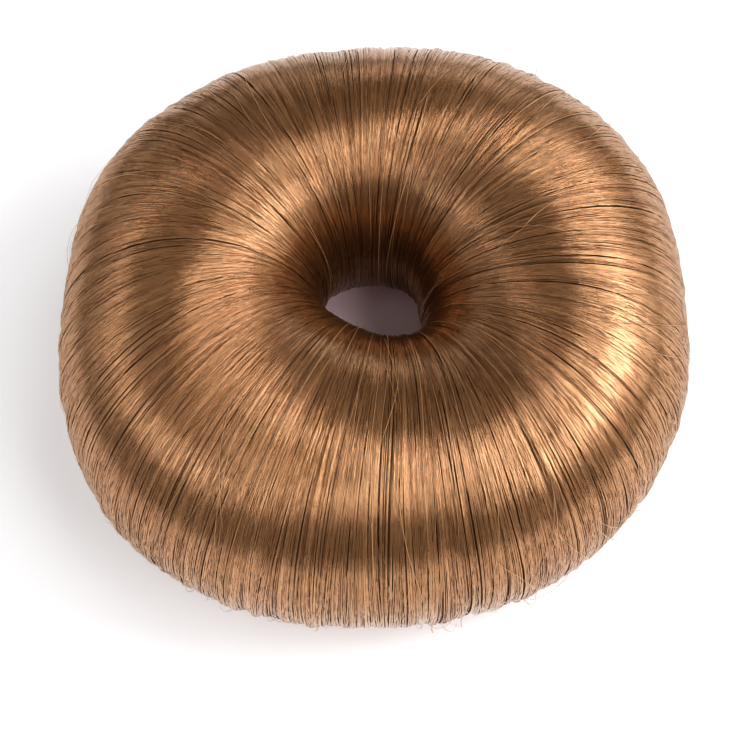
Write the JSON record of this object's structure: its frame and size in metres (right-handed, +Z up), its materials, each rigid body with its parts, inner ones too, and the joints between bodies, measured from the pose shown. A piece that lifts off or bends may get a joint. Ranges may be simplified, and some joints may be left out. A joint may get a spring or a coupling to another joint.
{
  "type": "top knot hairpiece",
  "caption": "Ring-shaped top knot hairpiece: combed brown synthetic hair wound over a padded ring, with a narrow hole in the middle.",
  "frame": {"origin": "middle of the footprint, on the surface that the piece lies on", "axes": "+Z up out of the hole, +X to the right and +Y away from the viewer as the picture shows it"},
  "size_m": [0.0988, 0.0996, 0.0403],
  "materials": {
    "hair": "glossy combed synthetic hair, light reddish brown",
    "ring_cloth": "plain dark brown woven cloth"
  },
  "bodies": {
    "root": {"hair_wrap": "hair", "padded_ring": "ring_cloth"}
  },
  "joints": []
}
